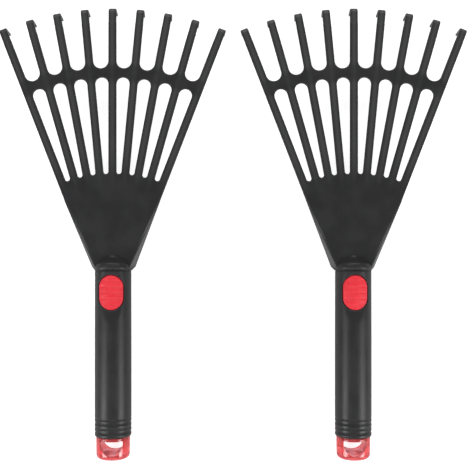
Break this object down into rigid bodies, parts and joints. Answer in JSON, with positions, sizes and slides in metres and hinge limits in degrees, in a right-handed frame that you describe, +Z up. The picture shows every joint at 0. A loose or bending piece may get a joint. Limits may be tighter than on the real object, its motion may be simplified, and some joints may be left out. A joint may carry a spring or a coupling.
{
  "type": "leaf grabber hands",
  "caption": "Pair of hand rakes for scooping up leaves, each a fan of hooked tines on a round grip with a release button and a hanging hole in its end cap.",
  "frame": {"origin": "centre of the pair's footprint, on the floor that the tines and grips rest on", "axes": "+X from the left hand to the right hand, +Y from the grips towards the tine tips, +Z up, tines pointing down"},
  "size_m": [0.4098, 0.3944, 0.032],
  "materials": {
    "black_plastic": "satin",
    "red_plastic": "satin",
    "clear_red_plastic": "clear",
    "spring_steel": "brushed"
  },
  "bodies": {
    "left_handle": {"left_grip_tube": "black_plastic", "left_latch_carrier": "black_plastic", "left_latch_strip": "spring_steel", "left_strip_rivets": "spring_steel", "left_carrier_screw": "spring_steel", "left_end_cap": "clear_red_plastic"},
    "left_head": {"left_rake_head": "black_plastic"},
    "left_button": {"left_release_button": "red_plastic"},
    "right_handle": {"right_grip_tube": "black_plastic", "right_latch_carrier": "black_plastic", "right_latch_strip": "spring_steel", "right_strip_rivets": "spring_steel", "right_carrier_screw": "spring_steel", "right_end_cap": "clear_red_plastic"},
    "right_head": {"right_rake_head": "black_plastic"},
    "right_button": {"right_release_button": "red_plastic"}
  },
  "joints": [
    {"name": "right_hand_lift", "type": "slide", "parent": "left_handle", "child": "right_handle", "axis": [0, 0, 1], "range_m": [0, 0.15]},
    {"name": "left_head_pull", "type": "slide", "parent": "left_handle", "child": "left_head", "axis": [0, 1, 0], "range_m": [0, 0.066], "deforming": ["left_latch_strip"]},
    {"name": "left_button_press", "type": "slide", "parent": "left_handle", "child": "left_button", "axis": [0, 0, -1], "range_m": [0, 0.0025], "stiffness_N_per_m": 2200, "springref_m": -0.0006, "deforming": ["left_latch_strip"]},
    {"name": "right_head_pull", "type": "slide", "parent": "right_handle", "child": "right_head", "axis": [0, 1, 0], "range_m": [0, 0.066], "deforming": ["right_latch_strip"]},
    {"name": "right_button_press", "type": "slide", "parent": "right_handle", "child": "right_button", "axis": [0, 0, -1], "range_m": [0, 0.0025], "stiffness_N_per_m": 2200, "springref_m": -0.0006, "deforming": ["right_latch_strip"]}
  ]
}
